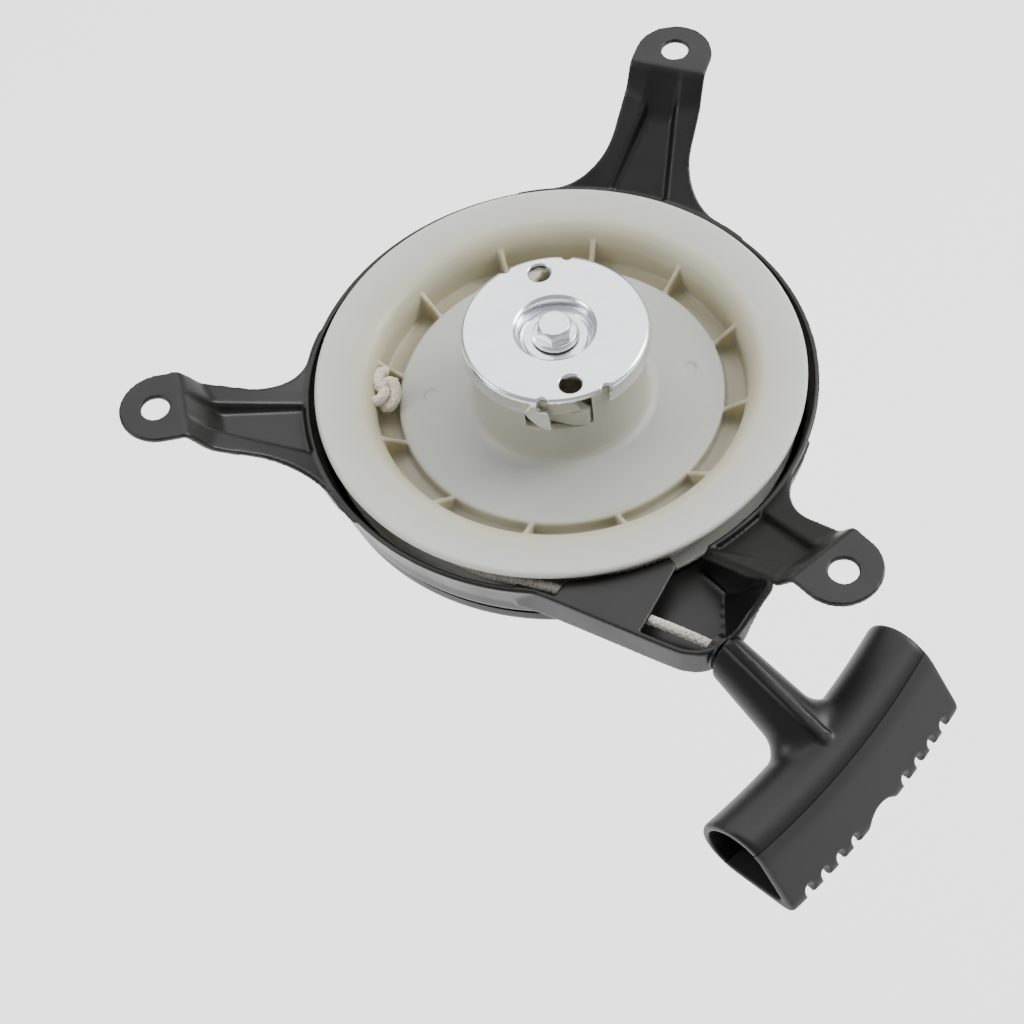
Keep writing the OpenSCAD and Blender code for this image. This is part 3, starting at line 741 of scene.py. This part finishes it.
def outlet_pieces():
    """Wall, level and rising floor, and flap of the rope outlet."""
    line, lows = outlet_line()
    tangent = np.gradient(line[:, :2], axis=0)
    normal = np.column_stack([-tangent[:, 1], tangent[:, 0]])
    normal /= np.linalg.norm(normal, axis=1)[:, None]
    inner = line[:, :2] + normal * SHEET
    points = []
    for (x, y, z), (u, v), low in zip(line, inner, lows):
        points += [(x, y, low), (x, y, z), (u, v, z), (u, v, low)]
    wall = build("outlet_wall", points, ring_faces(len(line), 4))
    middle = [tuple(p) for p in (line[:, :2] + normal * (SHEET / 2))]
    rising = [i for i, low in enumerate(lows) if low > BOX_LOW + 0.02]
    level = [m for i, m in enumerate(middle) if i not in rising]
    floor = add_prism("outlet_floor", level + rim_arc(76.2, 296, 252), BOX_LOW, BOX_LOW + SHEET)
    slope = rising_floor([middle[i] for i in rising], [lows[i] for i in rising])
    flap = add_prism("outlet_flap", FLAP_EDGE + rim_arc(75, 288, 261), BOX_TOP - 1.7, BOX_TOP)
    return [wall, floor, slope, flap]


def join(name, pieces):
    target = pieces[0]
    work = bmesh.new()
    for piece in pieces:
        work.from_mesh(piece.data)
    work.to_mesh(target.data)
    work.free()
    for piece in pieces[1:]:
        bpy.data.objects.remove(piece)
    target.name = name
    return target


def add_housing():
    """Pan, arms and outlet as one pressing: joined, then blended into one even skin."""
    arms = [arm_sheet(direction) for direction in ARM_DIRECTIONS]
    shell = join("housing_shell", pan_pieces() + arms + outlet_pieces())
    even_skin(shell, 0.5, 7)
    stand_for(shell, "housing")
    finish_with(shell, "housing")


# ---------- grip ----------

GRIP_W = 82
GRIP_L = 65
GRIP_ROLL = 2.7
BAR_FRONT_R = 12
BAR_FRONT_U = GRIP_L - 20.4
BAR_BACK_R = 3.5
BAR_BACK_U = GRIP_L - BAR_BACK_R
WALL_ANGLE = -50
NECK_GAP = 2.1
BOW = 3.3
BACK_BOW = 2.4
PARTING_U = GRIP_L - 18.5
NECK_R = 6.5
NECK_TAPER = 0.07
NECK_START = -4
BAR_WALL = 2.6
NOTCH_R = 1.95
SCALLOP_R = 9


def grip_frame():
    """Turns (along the pull, along the bar, up) at the guide into the row frame, in metres."""
    bar = Matrix.Rotation(math.radians(GRIP_ROLL), 3, PULL) @ Vector((0, 0, 1)).cross(PULL).normalized()
    turn = Matrix((PULL, bar, PULL.cross(bar))).transposed().to_4x4()
    return Matrix.Translation(GUIDE * MM) @ turn


def bar_section(front_r, back_u, back_r):
    """Round front and narrow round back, joined by straight sides."""
    lean = math.degrees(math.acos((front_r - back_r) / (back_u - BAR_FRONT_U)))
    return (arc(BAR_FRONT_U, 0, front_r, lean, 360 - lean, 36)
            + arc(back_u, 0, back_r, -lean, lean, 10))


def bar_solid(name, section, half):
    """Section in (u, w) run along the bar; front and back bow towards the engine at both ends."""
    columns = 40
    points = []
    for i in range(columns + 1):
        v = half * (2 * i / columns - 1)
        for u, w in section:
            share = min(max((GRIP_L - u) / (GRIP_L - BAR_FRONT_U), 0), 1)
            bow = (v / (GRIP_W / 2)) ** 2
            points.append((u - BOW * share * bow + BACK_BOW * (1 - share) * (1 - bow), v, w))
    return build(name, points, ring_faces(columns + 1, len(section)))


def neck_solid():
    """Round neck that widens towards the bar and meets it with a fillet all round."""
    fillet, rings, count = 8, 26, 64
    points = []
    for i in range(rings + 1):
        for k in range(count):
            t = 2 * math.pi * k / count
            root = BAR_FRONT_U - math.sqrt(BAR_FRONT_R ** 2 - (10.5 * math.sin(t)) ** 2) + 0.8
            u = NECK_START + (root - NECK_START) * i / rings
            x = min(max(u - (root - fillet), 0), fillet - 0.4)
            flare = (fillet - math.sqrt(fillet ** 2 - x * x)) * math.cos(t) ** 2
            r = NECK_R + NECK_TAPER * max(u, 0) + flare
            points.append((u, r * math.cos(t), r * math.sin(t)))
    points += [(BAR_FRONT_U - 2, 0.75 * v, 0.75 * w) for u, v, w in points[-count:]]
    return build("neck", points, ring_faces(rings + 2, count))


def rib_solid(side):
    """Raised rib along the top or bottom of the neck."""
    outline = [(-2, -1.6), (37, -2), (38.6, -1.2), (38.6, 1.2), (37, 2), (-2, 1.6)]
    crown = [side * (NECK_R + 1.5 + NECK_TAPER * u) for u, _ in outline]
    root = [side * 4.0] * len(outline)
    return add_prism("rib", outline, *((root, crown) if side > 0 else (crown, root)))


def rod(name, start_u, length, r):
    """Round rod along the pull."""
    obj = add_prism(name, circle(r, 48), 0, length)
    obj.data.transform(Matrix.Translation((start_u * MM, 0, 0)) @ Matrix.Rotation(math.pi / 2, 4, "Y"))
    return obj


def back_of_bar(v):
    return GRIP_L + BACK_BOW * (1 - (v / (GRIP_W / 2)) ** 2)


def bar_cutters():
    """The bar's hollow, the finger notches along its back and the scallop between them."""
    hollow = bar_section(BAR_FRONT_R - BAR_WALL, BAR_BACK_U - 3.0, BAR_BACK_R - 1.6)
    tools = [bar_solid("hollow", hollow, GRIP_W / 2 + 4)]
    for side in (-1, 1):
        for k in range(4):
            v = side * (12.3 + 6.9 * k)
            outline = [(back_of_bar(v) - 1.8 + x, v + y) for x, y in circle(NOTCH_R, 24)]
            tools.append(add_prism("notch", outline, -20, 20))
    outline = [(back_of_bar(0) + 5.6 + x, y) for x, y in circle(SCALLOP_R, 48)]
    tools.append(add_prism("scallop", outline, -20, 20))
    return join("cutters", tools)


def wall_cutter():
    """Everything on the housing's side of the outlet wall, in the grip's frame."""
    block = add_prism("wall_side", [(-30, -25), (0, -25), (0, 25), (-30, 25)], -25, 25)
    place = (Matrix.Translation(GUIDE * MM) @ Matrix.Rotation(math.radians(WALL_ANGLE), 4, "Z")
             @ Matrix.Translation((NECK_GAP * MM, 0, 0)))
    block.data.transform(grip_frame().inverted() @ place)
    return block


def add_grip():
    bar = bar_solid("bar", bar_section(BAR_FRONT_R, BAR_BACK_U, BAR_BACK_R), GRIP_W / 2)
    body = join("grip_moulding", [bar, neck_solid()])
    even_skin(body, 0.6, 16)
    body = join("grip_moulding", [body, rib_solid(1), rib_solid(-1)])
    even_skin(body, 0.5, 4)
    cut(body, bar_cutters())
    cut(body, rod("rope_hole", -8, 60, ROPE_R + 0.7))
    cut(body, wall_cutter())
    even_skin(body, 0.42, 3)
    body.data.transform(grip_frame())
    stand_for(body, "grip")
    finish_with(body, "grip")


def grip_finish():
    """Matte black moulding: smoother in front of its parting line than behind it."""
    f = Finish("grip_black", IOR=1.46)
    inverse = grip_frame().inverted()
    local = []
    for row in (0, 1):
        dot = f.add("ShaderNodeVectorMath", operation="DOT_PRODUCT")
        f.link(f.place, dot.inputs[0])
        dot.inputs[1].default_value = tuple(inverse[row][:3])
        local.append(f.calc("ADD", dot.outputs["Value"], inverse[row][3]))
    along_bar = f.calc("POWER", local[1], 2)
    unbowed = f.calc("MULTIPLY_ADD", along_bar, BOW * MM / (GRIP_W / 2 * MM) ** 2, local[0])
    behind = f.remap(unbowed, (PARTING_U - 0.1) * MM, (PARTING_U + 0.1) * MM)
    line = f.calc("COMPARE", unbowed, PARTING_U * MM, 0.17 * MM)
    shine = f.calc("MULTIPLY", f.calc("SUBTRACT", 1, line), 0.5)
    f.colour(behind, [(0, grey(0.004)), (1, grey(0.02))])
    f.link(f.remap(behind, 0, 1, 0.42, 0.6), f.shader.inputs["Roughness"])
    f.link(shine, f.shader.inputs["Specular IOR Level"])
    f.bump((f.noise(2.2, 3), 0.015), (f.noise(0.28, 2), 0.01))
    return f.material


MATERIALS["grip"] = grip_finish()


def add_pieces():
    add_housing()
    add_grip()
    voxel_piece("reel", "reel_moulding", 0.45, 1)
    voxel_piece("friction_plate", "plate_pressing", 0.26, 3)
    voxel_piece("center_bolt", "bolt_head", 0.16, 2)
    for node, obj in frame["nodes"].items():
        finish_with(obj, node)
        if not obj.hide_render:
            bevel = obj.modifiers.new("edge", "BEVEL")
            bevel.width = 0.15 * MM
            bevel.segments = 2
            bevel.limit_method = "ANGLE"
            bevel.angle_limit = math.radians(40)


add_rope()
add_pieces()


# ---------- studio ----------

def add_floor():
    """Pale floor, far enough below that the grip stays above it when the rope is pulled right out."""
    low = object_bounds()[0]
    half = 6
    z = low.z - 0.02 + min(PULL.z, 0) * PULL_TRAVEL
    corners = [(-half, -half, z), (half, -half, z), (half, half, z), (-half, half, z)]
    mesh = bpy.data.meshes.new("floor")
    mesh.from_pydata(corners, [], [(0, 1, 2, 3)])
    floor = add_object("floor", mesh)
    f = Finish("pale_floor", Base_Color=(0.95, 0.95, 0.95, 1), Roughness=0.9,
               Emission_Color=(1, 1, 1, 1), Emission_Strength=1.3)
    floor.data.materials.append(f.material)


def add_light(name, place, target, width, height, power):
    data = bpy.data.lights.new(name, "AREA")
    data.shape = "RECTANGLE"
    data.size = width
    data.size_y = height
    data.energy = power
    light = bpy.data.objects.new(name, data)
    scene.collection.objects.link(light)
    light.location = place
    light.rotation_euler = (Vector(target) - Vector(place)).to_track_quat("-Z", "Y").to_euler()


def add_studio():
    add_floor()
    target = (0, 0, 0.02)
    add_light("tent", (0.25, 0.95, 1.5), target, 2.6, 1.9, 30)
    add_light("right", (1.1, 0.25, 0.9), target, 0.6, 0.6, 15)
    add_light("left", (-1.1, 0.0, 0.9), target, 0.5, 0.5, 6)
    world = bpy.data.worlds.new("studio")
    world.use_nodes = True
    background = world.node_tree.nodes["Background"]
    background.inputs["Color"].default_value = (1, 1, 1, 1)
    background.inputs["Strength"].default_value = 0.5
    scene.world = world


add_studio()
